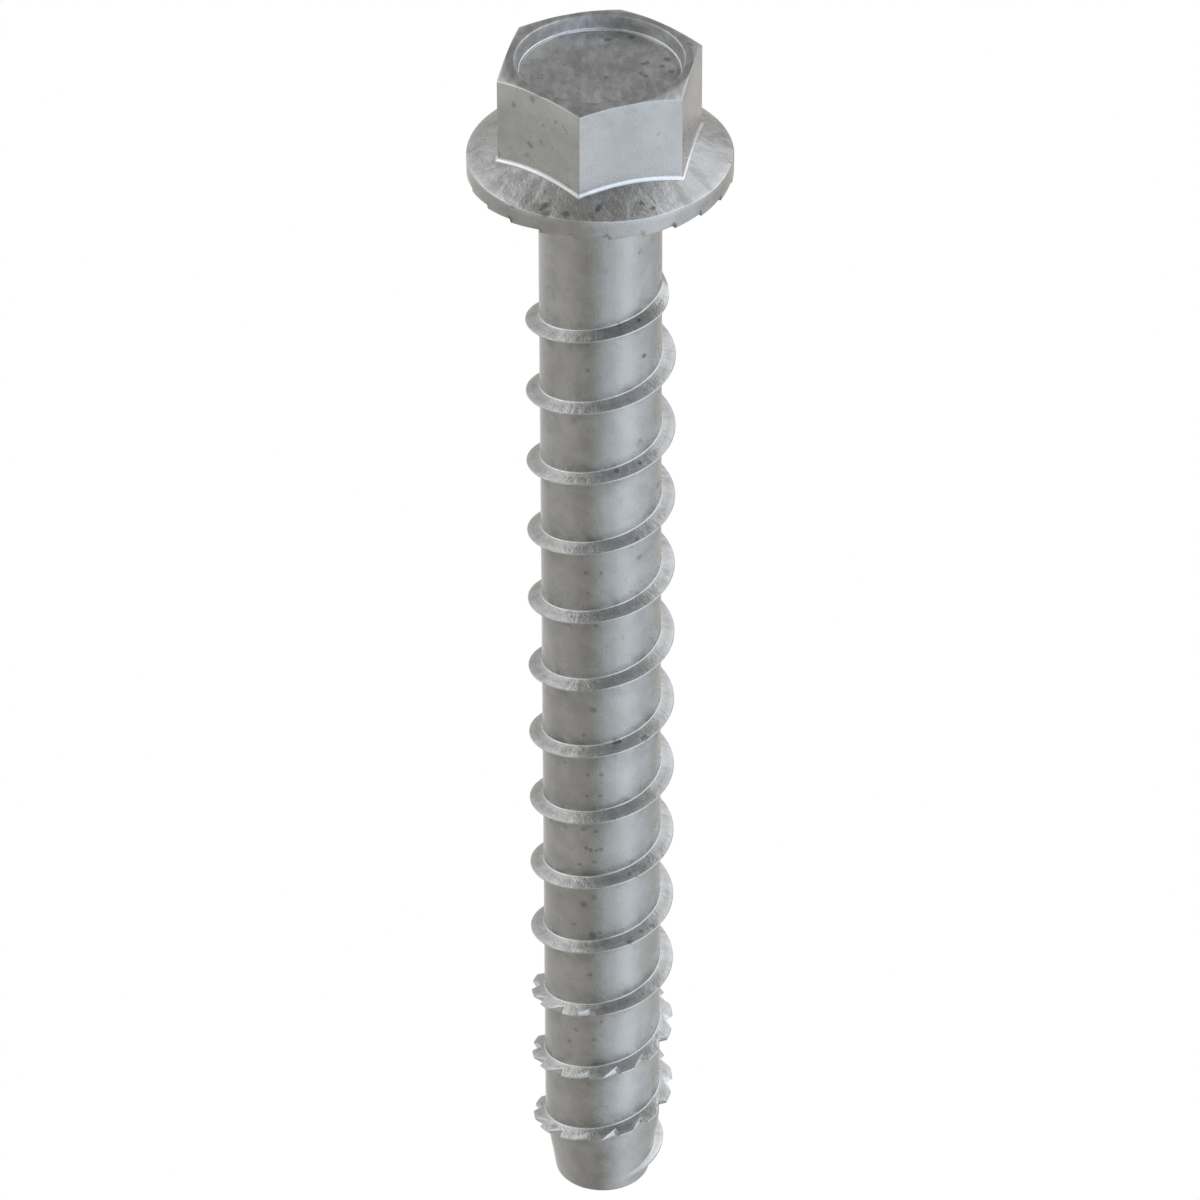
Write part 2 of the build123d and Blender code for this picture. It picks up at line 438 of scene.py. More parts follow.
    def hex_radius(self, theta, grow, rounding):
        """Distance from the axis to a hexagon grown by an offset, along each angle. A flat is
        its distance over the cosine from its middle, and a corner is an arc."""
        h = self.head
        from_corner = np.mod(theta - h.corner_angle + 30, 60) - 30
        flat = h.flats / 2 + grow
        on_flat = flat / np.cos(np.radians(30 - np.abs(from_corner)))
        half = math.cos(math.radians(30))
        centre = (flat - rounding) / half
        limit = math.degrees(math.atan2(rounding / 2, centre + rounding * half))
        near = np.radians(np.minimum(np.abs(from_corner), limit))
        on_arc = centre * np.cos(near) + np.sqrt(rounding ** 2 - (centre * np.sin(near)) ** 2)
        return np.where(np.abs(from_corner) < limit, on_arc, on_flat)

    def ratchet_steps(self):
        """Angles of the steps between the ratchet teeth."""
        return self.flange.tooth_angle + TURN / self.flange.teeth * np.arange(self.flange.teeth)

    def head_columns(self):
        """Angles of the columns: an even set, five at each corner, two at each ratchet step."""
        h, steps = self.head, self.ratchet_steps()
        corners = h.corner_angle + 60 * np.arange(6)
        limit = math.degrees(h.corner_round / 2 / (h.flats / 2 / math.cos(math.radians(30))))
        marks = [corners + limit * k for k in (-1.05, -0.5, 0, 0.5, 1.05)]
        marks += [steps - RATCHET_ARC, steps + RATCHET_ARC]
        return with_even(np.mod(np.concatenate(marks), TURN), HEAD_STEP, HEAD_CLEAR)

    def ratchet_height(self, theta):
        """Height of the flange's underside at the rim: up steadily through each tooth, going round
        against the clock, then straight down at the step."""
        f = self.flange
        pitch, near = TURN / f.teeth, RATCHET_ARC
        phase = np.mod(theta - f.tooth_angle, pitch)
        rise = np.where(phase > pitch - near, (pitch - phase) / (2 * near) + 0.5, phase / pitch)
        return f.tooth_depth * np.where(phase < near, 0.5 - phase / (2 * near), rise)

    def underside_rows(self, outline):
        """The neck's fillet, a quarter circle, the ratchet teeth, the rim and its edge."""
        s, f, theta = self.shank, self.flange, outline.theta
        ratchet = self.ratchet_height(theta)
        rim_r = f.diameter / 2
        # Painted shade in the neck's fillet under the flange
        for turn in (0, 30, 60, 90):
            a = math.radians(turn)
            radius = self.core_r + s.neck * (1 - math.cos(a))
            lift = ratchet * radius / rim_r * turn / 90
            outline.row(radius, -s.neck * (1 - math.sin(a)) + lift, hollow=0.6)
        for radius in (*UNDERSIDE_ROWS, rim_r - RIM_NIP):
            outline.row(radius, ratchet * radius / rim_r)
        # The low edge is rubbed bright, partly a painted highlight, and dark at each step, a
        # painted shadow
        dark = 3.0 * (arc_to_nearest(theta, self.ratchet_steps()) < 0.3)
        outline.row(rim_r - 0.3 * RIM_NIP, ratchet + 0.3 * RIM_NIP, 0.15, dark)
        outline.row(rim_r, ratchet + RIM_NIP, 0.1, dark)
        side = f.rim - f.edge_round - ratchet - RIM_NIP
        # Painted shade on the rim's upright side
        for k in (0.35, 0.7):
            outline.row(rim_r, ratchet + RIM_NIP + side * k, hollow=0.2)
        # The rim's top edge is rubbed bright, partly a painted highlight, and smeared
        for k in range(5):
            a = (math.pi / 2 - math.radians(f.slope)) * k / 4
            outline.row(rim_r - f.edge_round * (1 - math.cos(a)),
                        f.rim - f.edge_round + f.edge_round * math.sin(a), 0.12, smeared=k / 4)

    def cone_rows(self, outline):
        """The flange's cone in to the hexagon, and the fillet between them, a curve of second
        degree. The cone rises by the tangent of its slope for each step inwards."""
        h, slope = self.head, math.radians(self.flange.slope)
        rim_r, rim_z = outline.last()

        def cone(radius):
            return rim_z + (rim_r - radius) * math.tan(slope)

        reach = h.foot_round / math.tan((math.pi / 2 + slope) / 2)
        foot_r = self.hex_radius(outline.theta, reach * math.cos(slope), FOOT_CORNER)
        # Painted shade near the foot of the hexagon, and the cone's smear, partly painted
        # reflection
        for k in (0.2, 0.45, 0.7, 0.88, 1.0):
            radius = rim_r + (foot_r - rim_r) * k
            outline.row(radius, cone(radius), hollow=0.3 * max(0, k - 0.8) / 0.2, smeared=1)
        wall_r = self.hex_radius(outline.theta, 0.0, h.corner_round)
        start, corner = (foot_r, cone(foot_r)), (wall_r, cone(wall_r))
        end = (wall_r, cone(wall_r) + reach)
        # Painted highlight along the fillet between the cone and the hexagon
        for k, wear_and_highlight in ((0.15, 0.6), (0.35, 0.8), (0.6, 0.8), (0.85, 0.8), (1.0, 0.2)):
            outline.row(*bent(start, corner, end, k), wear_and_highlight)

    def hexagon_rows(self, outline):
        """The hexagon's upright wall, and over it the cone that turns its corners off, which falls
        by the tangent of its slope for each step outside the flat ring."""
        h, ring_r = self.head, self.head.chamfer_ring / 2
        fall = math.tan(math.radians(h.chamfer))
        wall_r, wall_low = outline.last()

        def top(radius):
            return h.height - np.clip(radius - ring_r, 0, None) * fall

        edge_z = top(wall_r)
        # The top edge of the wall is rubbed bright, partly a painted highlight
        for k, wear_and_highlight in ((0.3, 0), (0.65, 0), (1.0, 0.05)):
            outline.row(wall_r, wall_low + (edge_z - WALL_NIP - wall_low) * k, wear_and_highlight)
        outline.row(wall_r - 0.3 * WALL_NIP, edge_z - 0.27 * WALL_NIP, 0.12)
        over_r = wall_r - WALL_NIP
        outline.row(over_r, top(over_r))
        for k in (0.35, 0.7, 1.0):
            radius = over_r + (ring_r - RING_NIP - over_r) * k
            outline.row(radius, top(radius), matt=np.clip((MATT_FROM - radius) / MATT_FADE, 0, 1))

    def recess_rows(self, outline):
        """The flat ring, the rounded rim of the recess, its sloping wall, the step at the foot of
        the wall with a painted highlight, the corner under it with painted shade, and the floor."""
        h = self.head
        rim, floor_r = h.recess / 2, h.recess_floor / 2
        wall = math.atan2(h.recess_depth, (h.recess - h.recess_floor) / 2)
        outline.row(rim + RECESS_LIP + 0.15, h.height, matt=1)
        # The rim of the recess gets a faint painted highlight
        for k in range(5):
            a = wall * k / 4
            outline.row(rim + RECESS_LIP * (1 - math.tan(a / 2) if k < 4 else -0.18),
                        h.height - RECESS_LIP * math.sin(a) * 0.72 * k / 4, 0.1, matt=1 - 0.1 * k)
        step_z = h.height - h.recess_depth
        floor_z = step_z - h.recess_step
        last_r, last_z = outline.last()
        for k in (0.5, 0.94):
            outline.row(last_r + (floor_r + 0.02 - last_r) * k, last_z + (step_z - last_z) * k,
                        matt=1)
        # A painted highlight along the step, and painted shade in the corner under it
        for inset, z, wear_and_highlight, corner_shade in (
            (-0.01, step_z, 1.0, 0.0),
            (0.04, step_z - 0.03, 1.0, 0.0),
            (0.06, step_z - 0.6 * h.recess_step, 0.0, 0.7),
            (0.11, floor_z + 0.03, 0.0, 0.9),
            (0.25, floor_z, 0.0, 0.7),
        ):
            outline.row(floor_r - inset, z, wear_and_highlight, corner_shade)
        for k in (0.93, 0.8, 0.6, 0.4, 0.2, 0.08, 0.0):
            outline.row(floor_r * k, floor_z, matt=0.12)

    def head_grid(self):
        """Flange, hexagon and recess as one outline carried round the axis, from the neck out to
        the rim, up the hexagon and in to the middle of the recess."""
        outline = Outline(self.head_columns())
        self.underside_rows(outline)
        self.cone_rows(outline)
        self.hexagon_rows(outline)
        self.recess_rows(outline)
        points, looks = outline.grid()
        return points, looks, outline.theta


def grid_faces(count, width, closed, first):
    """Quads of a grid of count columns by width rows, whose points are numbered from first."""
    i, j = np.meshgrid(np.arange(count if closed else count - 1), np.arange(width - 1),
                       indexing="ij")
    here, after = i * width + j + first, (i + 1) % count * width + j + first
    return np.stack((here, after, after + 1, here + 1), axis=2).reshape(-1, 4)


def ring_faces(low, low_points, high, high_points):
    """Triangles between two rings with angles of their own. All angles are put in one order, and
    each closes a triangle with the last one before it on either ring."""
    side = np.repeat((0, 1), (len(low), len(high)))
    side = side[np.argsort(np.concatenate([low, high]), kind="stable")]
    at_low = low_points[(np.cumsum(side == 0) - 1) % len(low)]
    at_high = high_points[(np.cumsum(side == 1) - 1) % len(high)]
    here = np.where(side == 0, at_low, at_high)
    return np.stack((np.roll(at_low, 1), here, np.roll(at_high, 1)), axis=1)


# Points nearer than this are one, edges shorter than this go (metres), and edges sharper than
# this stay crisp (degrees)
MERGE, SHORTEST, CRISP = 2e-6, 1e-7, 32


def closed_mesh(name, points, quads, triangles, layers):
    """A mesh with its doubles merged, its faces turned outwards, and a number on each vertex for
    each named layer."""
    mesh = bpy.data.meshes.new(name)
    mesh.from_pydata(points, [], quads.tolist() + triangles.tolist())
    for key, values in layers.items():
        layer = mesh.attributes.new(key, "FLOAT", "POINT")
        layer.data.foreach_set("value", np.ascontiguousarray(values, dtype=np.float32))
    edit = bmesh.new()
    edit.from_mesh(mesh)
    bmesh.ops.remove_doubles(edit, verts=edit.verts, dist=MERGE)
    bmesh.ops.dissolve_degenerate(edit, edges=edit.edges, dist=SHORTEST)
    loose = [v for v in edit.verts if not v.link_faces]
    bmesh.ops.delete(edit, geom=loose, context="VERTS")
    bmesh.ops.recalc_face_normals(edit, faces=edit.faces)
    open_edges = sum(1 for e in edit.edges if len(e.link_faces) != 2)
    edit.to_mesh(mesh)
    edit.free()
    if open_edges:
        raise RuntimeError(f"{name} has {open_edges} edges without two faces")
    mesh.shade_smooth()
    mesh.set_sharp_from_angle(angle=math.radians(CRISP))
    mesh.update()
    return mesh


def show(name, mesh, material):
    """An object at the origin, in the scene."""
    obj = bpy.data.objects.new(name, mesh)
    bpy.context.scene.collection.objects.link(obj)
    obj.data.materials.append(material)
    return obj


class Nodes:
    """Short words for adding and joining nodes."""

    def __init__(self, tree):
        self.tree = tree
        tree.nodes.clear()

    def add(self, kind, inputs=None, **settings):
        """A node with its settings, its sockets joined or given plain values."""
        node = self.tree.nodes.new(kind)
        for key, value in settings.items():
            setattr(node, key, value)
        for key, value in (inputs or {}).items():
            if isinstance(value, bpy.types.NodeSocket):
                self.tree.links.new(value, node.inputs[key])
            else:
                node.inputs[key].default_value = value
        return node

    def group(self, tree, inputs):
        return self.add("ShaderNodeGroup", inputs, node_tree=tree)

    def math(self, operation, a, b=0.0, c=0.0, clamp=False):
        return self.add("ShaderNodeMath", {0: a, 1: b, 2: c}, operation=operation,
                        use_clamp=clamp).outputs[0]

    def vector(self, operation, a, b=(0.0, 0.0, 0.0), c=(0.0, 0.0, 0.0)):
        return self.add("ShaderNodeVectorMath", {0: a, 1: b, 2: c}, operation=operation)

    def ramp(self, value, low, high, to_low=0.0, to_high=1.0):
        """Smoothly from one number to another while the value goes from low to high."""
        return self.add("ShaderNodeMapRange", {0: value, 1: low, 2: high, 3: to_low, 4: to_high},
                        interpolation_type="SMOOTHSTEP").outputs[0]

    def mix(self, factor, a, b, blend="MIX"):
        return self.add("ShaderNodeMix", {"Factor": factor, 6: a, 7: b}, data_type="RGBA",
                        blend_type=blend).outputs[2]

    def noise(self, vector, scale, detail, rough, warp=0.0, output=0):
        inputs = {"Vector": vector, "Scale": scale, "Detail": detail, "Roughness": rough,
                  "Distortion": warp}
        return self.add("ShaderNodeTexNoise", inputs).outputs[output]

    def weighted(self, layers, weights, start=0.0):
        """The start, plus each layer named in the weights times its weight."""
        for key, weight in weights.items():
            start = self.math("MULTIPLY_ADD", layers[key], weight, start)
        return start


def new_group(name, inputs, outputs):
    """A shader node group. Its inputs and outputs are given by name and kind."""
    tree = bpy.data.node_groups.new(name, "ShaderNodeTree")
    for way, sockets in (("INPUT", inputs), ("OUTPUT", outputs)):
        for key, kind in sockets.items():
            tree.interface.new_socket(name=key, in_out=way, socket_type="NodeSocket" + kind)
    n = Nodes(tree)
    return tree, n, n.add("NodeGroupInput").outputs


def zinc_clouds_group():
    """Soft clouds, finer mottle and grain of a tumbled zinc coat, each from 0 to 1."""
    tree, n, given = new_group("Zinc clouds", {"Vector": "Vector"},
                               {"Cloud": "Float", "Mottle": "Float", "Grain": "Float"})
    at = given["Vector"]
    n.add("NodeGroupOutput", {
        "Cloud": n.ramp(n.noise(at, scale=130, detail=3, rough=0.55, warp=0.3), 0.33, 0.68),
        "Mottle": n.ramp(n.noise(at, scale=620, detail=3, rough=0.6), 0.32, 0.7),
        "Grain": n.ramp(n.noise(at, scale=4600, detail=3, rough=0.65), 0.3, 0.7),
    })
    return tree


# How far noise moves the edges of the spots and marks, in metres
SPOT_SHIFT = 0.0011
MARK_SHIFT = 0.00036


def dark_spots_group():
    """Small ragged dark spots, which gather in some places and leave others clean."""
    tree, n, given = new_group("Dark spots", {"Vector": "Vector", "Scale": "Float",
                                              "Amount": "Float"}, {"Mask": "Float"})
    at = given["Vector"]
    warp = n.noise(at, scale=900, detail=2, rough=0.5, output="Color")
    shifted = n.vector("MULTIPLY_ADD", warp, (SPOT_SHIFT,) * 3, at).outputs[0]
    cell = n.add("ShaderNodeTexVoronoi", {"Vector": shifted, "Scale": given["Scale"]})
    spot = n.ramp(cell.outputs["Distance"], 0.3, 0.1)
    chance = n.add("ShaderNodeSeparateColor", {0: cell.outputs["Color"]}).outputs[0]
    chosen = n.math("GREATER_THAN", given["Amount"], chance)
    region = n.ramp(n.noise(at, scale=95, detail=2, rough=0.5), 0.48, 0.6)
    mask = n.math("MULTIPLY", n.math("MULTIPLY", spot, chosen), region, clamp=True)
    n.add("NodeGroupOutput", {"Mask": mask})
    return tree


def radial_streaks_group():
    """Smears that run outwards from the axis, from 0 to 1, which on the flange also paint its
    reflections: noise that changes quickly round the axis and slowly along the radius."""
    tree, n, given = new_group("Radial streaks", {"Vector": "Vector"}, {"Streak": "Float"})
    flat = n.vector("MULTIPLY", given["Vector"], (1.0, 1.0, 0.0)).outputs[0]
    ring = n.vector("NORMALIZE", flat).outputs[0]
    out = n.vector("MULTIPLY_ADD", given["Vector"], (95.0, 95.0, 180.0), ring).outputs[0]
    streak = n.noise(out, scale=2.3, detail=6, rough=0.62, warp=0.8)
    n.add("NodeGroupOutput", {"Streak": n.ramp(streak, 0.36, 0.64)})
    return tree


def drawn_streaks_group():
    """Fine streaks drawn out along Y, from -0.5 to 0.5."""
    tree, n, given = new_group("Drawn streaks", {"Vector": "Vector"}, {"Streak": "Float"})
    drawn = n.vector("MULTIPLY", given["Vector"], (1.0, 0.35, 1.0)).outputs[0]
    streak = n.ramp(n.noise(drawn, scale=1100, detail=4, rough=0.65), 0.36, 0.66)
    n.add("NodeGroupOutput", {"Streak": n.math("SUBTRACT", streak, 0.5)})
    return tree


# Dark marks on the flange, in the recess, on the hexagon and on the shank, where the real screw
# has them in its zinc, and dark patches on the thread's flanks at the front right: middle and
# radius in millimetres, and strength
MARKS = (
    (-5.34, -10.9, 2.65, 0.51, 0.9), (-5.24, -11.83, 2.27, 0.54, 0.9),
    (-5.74, -11.25, 2.41, 0.36, 0.9), (-3.34, -12.12, 2.45, 0.51, 0.9),
    (-0.32, -11.91, 2.75, 0.45, 0.9), (-0.05, -11.61, 2.89, 0.36, 0.9),
    (4.01, -10.88, 2.89, 0.3, 0.9), (4.22, -11.03, 2.8, 0.24, 0.9), (5.08, -11.3, 2.52, 0.36, 0.9),
    (0.82, 6.23, 11.2, 0.53, 0.8), (3.1, 6.65, 11.2, 0.51, 0.8), (6.61, 2.38, 11.2, 0.51, 0.8),
    (6.07, 1.04, 11.2, 0.45, 0.8), (6.95, 0.02, 11.2, 0.43, 0.8), (4.27, 1.53, 11.2, 0.43, 0.8),
    (4.67, 1.71, 11.2, 0.37, 0.8), (0.59, -0.98, 11.2, 0.33, 0.8), (4.43, -0.8, 11.2, 0.37, 0.8),
    (4.0, -0.33, 11.2, 0.28, 0.8), (-4.35, -8.46, 10.61, 0.28, 0.45),
    (-3.55, -9.15, 10.5, 0.21, 0.45), (-3.36, -9.32, 10.21, 0.21, 0.45),
    (-3.25, -9.42, 9.87, 0.19, 0.45), (-5.83, -7.16, 7.65, 0.21, 0.45),
    (-5.68, -7.28, 7.39, 0.19, 0.45), (-5.5, -7.44, 9.59, 0.21, 0.45),
    (-4.63, -8.21, 7.49, 0.21, 0.45), (-0.83, -6.12, -61.58, 0.48, 0.58),
    (-1.86, -5.88, -64.94, 0.32, 0.48), (-1.42, -6.01, -70.0, 0.28, 0.58),
    (-0.07, -6.17, -69.89, 0.31, 0.53), (-1.55, -5.97, -72.75, 0.23, 0.63),
    (-0.18, -6.16, -72.61, 0.28, 0.58), (-1.92, -5.86, -77.17, 0.34, 0.58),
    (-0.63, -6.14, -77.23, 0.34, 0.58), (-1.61, -5.95, -79.55, 0.28, 0.63),
    (-1.19, -6.06, -79.73, 0.32, 0.63), (-0.61, -6.14, -79.74, 0.28, 0.58),
    (-0.09, -6.16, -79.59, 0.31, 0.58), (-0.78, -6.12, -81.3, 0.32, 0.53),
    (-2.3, -5.73, -81.82, 0.28, 0.48), (-1.89, -5.87, -87.07, 0.53, 0.58),
    (-0.84, -6.12, -85.95, 0.46, 0.43), (-1.0, -6.09, -91.0, 0.57, 0.68),
    (-0.27, -6.16, -90.6, 0.34, 0.48), (-2.96, -5.41, -90.01, 0.3, 0.48),
    (-3.85, -4.83, -69.24, 0.23, 0.43), (-3.75, -4.9, -77.63, 0.28, 0.43),
    (-1.55, -5.97, -44.45, 0.31, 0.48), (-0.02, -6.17, -44.31, 0.29, 0.48),
    (-1.35, -6.02, -46.9, 0.29, 0.48), (-0.54, -6.14, -50.94, 0.34, 0.48),
    (-1.27, -6.04, -19.84, 0.34, 0.48), (-1.29, -6.03, -96.37, 0.34, 0.53),
    (-2.81, -5.5, -104.24, 0.32, 0.48), (-0.13, -6.17, -102.63, 0.32, 0.48),
    (-3.56, -5.03, -106.11, 0.28, 0.48), (-0.89, -6.11, -105.12, 0.32, 0.48),
    # These last ones darken the thread's flanks at the front right
    (3.78, -5.54, -14.13, 0.36, 0.85), (1.83, -6.04, -14.4, 0.34, 0.85),
    (4.33, -4.39, -19.15, 0.36, 0.85), (3.94, -5.6, -31.22, 0.34, 0.85),
    (1.57, -6.41, -31.64, 0.36, 0.85), (3.64, -6.29, -40.04, 0.34, 0.85),
    (1.44, -6.14, -65.66, 0.42, 0.95), (1.8, -6.12, -65.61, 0.36, 0.95),
    (4.43, -5.8, -65.47, 0.45, 1.0), (2.91, -6.76, -91.42, 0.42, 1.0),
    (1.27, -7.3, -74.69, 0.28, 0.75), (2.9, -6.35, -82.72, 0.31, 0.75),
    (3.71, -6.6, -82.86, 0.28, 0.75), (6.46, -3.95, -82.14, 0.34, 0.85),
    (5.39, -4.8, -90.77, 0.39, 0.85), (4.12, -5.5, -90.9, 0.34, 0.75),
)


def dark_mark_group():
    """One round dark mark: at full strength in its middle, nothing just past its radius."""
    tree, n, given = new_group("Dark mark", {"Vector": "Vector", "Place": "Vector",
                                             "Radius": "Float", "Strength": "Float",
                                             "Before": "Float"}, {"Mask": "Float"})
    away = n.vector("DISTANCE", given["Vector"], given["Place"]).outputs["Value"]
    amount = n.ramp(n.math("DIVIDE", away, given["Radius"]), 1.1, 0.35, 0.0, given["Strength"])
    n.add("NodeGroupOutput", {"Mask": n.math("MAXIMUM", amount, given["Before"])})
    return tree


# Spots that are strewn at random: scale, how many, how many more where the zinc is smeared or
# matt, and strength
SPOTS = ((560.0, 0.2, 0.2, 0.55), (1500.0, 0.08, 0.1, 0.275))
# What each layer of the coat adds to its tone from dark to light, to its roughness and to its
# relief, and how far the relief stands out, in metres
TONE_START, TONE = -0.09, {"cloud": 0.55, "mottle": 0.45, "grain": 0.18}
ROUGHER_START = -0.06
ROUGHER = {"mottle": 0.12, "spot": 0.15, "matt": 0.12, "rub_and_highlight": -0.1, "smeared rays": -0.14}
RELIEF = {"cloud": 0.4, "mottle": 0.2, "grain": 0.2, "smeared rays": 0.7, "smeared mottle": 0.45,
          "spot": -0.15}
RELIEF_DEPTH = 0.00004
# How far the colour goes towards the matt tone on the head, how strong the streaks there are, and
# how far it goes towards the stain in a smear, which on the flange is painted reflection, and in a
# spot
MATT_TONE, MATT_SHARE, DRAWN = (0.2, 0.2, 0.2, 1), 0.38, 0.32
SMEAR_SHADE, SPOT_SHADE = 0.6, 0.9


def spots_and_marks(n, at, more, screw):
    """The random spots, and over them the marks one by one, with ragged edges."""
    mask, spots_tree, mark_tree = 0.0, dark_spots_group(), dark_mark_group()
    for scale, amount, extra, strength in SPOTS:
        chance = n.math("MULTIPLY_ADD", more, extra, amount)
        spots = n.group(spots_tree, {"Vector": at, "Scale": scale, "Amount": chance})
        mask = n.math("MAXIMUM", mask, n.math("MULTIPLY", spots.outputs["Mask"], strength))
    ragged = n.noise(at, scale=2600, detail=2, rough=0.6, output="Color")
    ragged = n.vector("MULTIPLY_ADD", ragged, (MARK_SHIFT,) * 3, at).outputs[0]
    for x, y, z, radius, strength in MARKS:
        place = screw.stand_point((x, y, z)) + Vector((MARK_SHIFT / 2,) * 3)
        mask = n.group(mark_tree, {"Vector": ragged, "Place": place, "Radius": radius * MM,
                                   "Strength": strength, "Before": mask}).outputs["Mask"]
    return mask


def steel_material(look, screw):
    """Zinc-coated steel: clouded grey metal with dark spots, marks and smears, which on the flange
    paint its reflections; painted shade in its hollows, darker on the top of the head, and
    brighter where its edges are rubbed and where highlights are painted."""
    material = bpy.data.materials.new("galvanised steel")
    material.use_nodes = True
    n = Nodes(material.node_tree)
    at = n.add("ShaderNodeTexCoord").outputs["Object"]
    coat = n.group(zinc_clouds_group(), {"Vector": at}).outputs
    worn, hollow, matt, smeared = (
        n.add("ShaderNodeAttribute", attribute_name=name).outputs["Fac"]
        for name in ("worn", "hollow", "matt", "smeared"))
    rays = n.group(radial_streaks_group(), {"Vector": at}).outputs["Streak"]
    drawn = n.group(drawn_streaks_group(), {"Vector": at}).outputs["Streak"]
    # Rubbed edges and painted highlights, a little uneven
    rub_and_highlight = n.math("MULTIPLY", worn, n.ramp(coat["Mottle"], 0.0, 0.8, 0.8, 1.0))
    layers = {
        "cloud": coat["Cloud"],
        "mottle": coat["Mottle"],
        "grain": coat["Grain"],
        "spot": spots_and_marks(n, at, n.math("MAXIMUM", smeared, matt), screw),
        "matt": matt,
        "rub_and_highlight": rub_and_highlight,
        "smeared rays": n.math("MULTIPLY", smeared, rays),
        "smeared mottle": n.math("MULTIPLY", smeared, coat["Mottle"]),
    }
    stain_and_shade = (*look.stain_and_shade, 1)
    colour = n.mix(n.weighted(layers, TONE, TONE_START), (*look.dark, 1), (*look.light, 1))
    colour = n.mix(n.math("MULTIPLY", matt, MATT_SHARE), colour, MATT_TONE)
    drawn = n.math("MULTIPLY", n.ramp(matt, 0.0, 0.15), drawn)
    scaled = {0: colour, "Scale": n.math("MULTIPLY_ADD", drawn, DRAWN, 1.0)}
    colour = n.add("ShaderNodeVectorMath", scaled, operation="SCALE").outputs[0]
    # Smears darken the colour in radial streaks; on the flange this is painted reflection
    shade = n.math("MULTIPLY_ADD", rays, -SMEAR_SHADE, SMEAR_SHADE / 2)
    colour = n.mix(n.math("MULTIPLY", smeared, shade, clamp=True), colour, stain_and_shade)
    # Painted shade in hollows, corners and under the ratchet steps, made uneven by noise
    uneven = n.ramp(n.noise(at, scale=380, detail=4, rough=0.6, warp=0.5), 0.42, 0.7, 0.12, 0.75)
    colour = n.mix(n.math("MULTIPLY", hollow, uneven), colour, stain_and_shade)
    colour = n.mix(n.math("MULTIPLY", layers["spot"], SPOT_SHADE), colour, stain_and_shade)
    # Rubbed edges and painted highlights in the bright colour
    colour = n.mix(rub_and_highlight, colour, (*look.bright, 1))
    bump = n.add("ShaderNodeBump", {"Strength": 1.0, "Distance": RELIEF_DEPTH,
                                    "Height": n.weighted(layers, RELIEF)})
    shader = n.add("ShaderNodeBsdfPrincipled", {
        "Base Color": colour,
        "Roughness": n.weighted(layers, ROUGHER, look.roughness + ROUGHER_START),
        "Metallic": 0.9,
        "Normal": bump.outputs[0],
    })
    n.add("ShaderNodeOutputMaterial", {0: shader.outputs[0]})
    return material


class SCREW_OT_make_screw(bpy.types.Operator):
    """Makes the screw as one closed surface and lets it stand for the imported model's solid"""
    bl_idname = "concrete_screw.make_screw"
    bl_label = "Screw"

    def execute(self, context):
        screw = Screw(context.scene)
        shank, shank_look, columns, top, bottom = screw.shank_grid()
        tip, tip_look = screw.tip_grid(columns, bottom)
        head, head_look, around = screw.head_grid()
        parts = [shank, tip, head]
        first = np.cumsum([0] + [p.shape[0] * p.shape[1] for p in parts])
        quads = [grid_faces(*part.shape[:2], closed, start)
                 for part, closed, start in zip(parts, (False, True, True), first)]
        # The shank's top ring is repeated, so that the head's first ring can be joined to it
        ring = round_axis(screw.core_r, columns, top).reshape(-1, 3)
        join = ring_faces(columns, first[3] + np.arange(len(columns)),
                          around, first[2] + head.shape[1] * np.arange(len(around)))
        points = np.concatenate([p.reshape(-1, 3) for p in parts] + [ring])
        layers = {}
        for key in head_look:
            values = [look.get(key, np.zeros(part.shape[:2])).ravel()
                      for part, look in zip(parts, (shank_look, tip_look, head_look))]
            layers[key] = np.concatenate(values + [np.zeros(len(ring))])
        mesh = closed_mesh("concrete screw", screw.stand(points), np.concatenate(quads), join,
                           layers)
        steel = steel_material(context.scene.screw_steel, screw)
        obj = show("galvanised_concrete_screw", mesh, steel)
        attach(obj, "root")
        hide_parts(NODE)
        return {"FINISHED"}


# The photograph's camera: how far it is, what it looks at and how long its lens is
CAMERA_DISTANCE = 719.7
CAMERA_AIM = -52.0
CAMERA_ELEVATION = 35.04
CAMERA_ROLL = -0.138
LENS_PIXELS = 6975.6
IMAGE = 1200
IMAGE_CENTRE = 601.24
SENSOR = 36.0
NEAREST, FURTHEST = 0.01, 20.0
# Half the width of the floor, and from where to where it fades to white, in metres
FLOOR_REACH = 3.0
FLOOR_FADE = (0.12, 0.55)


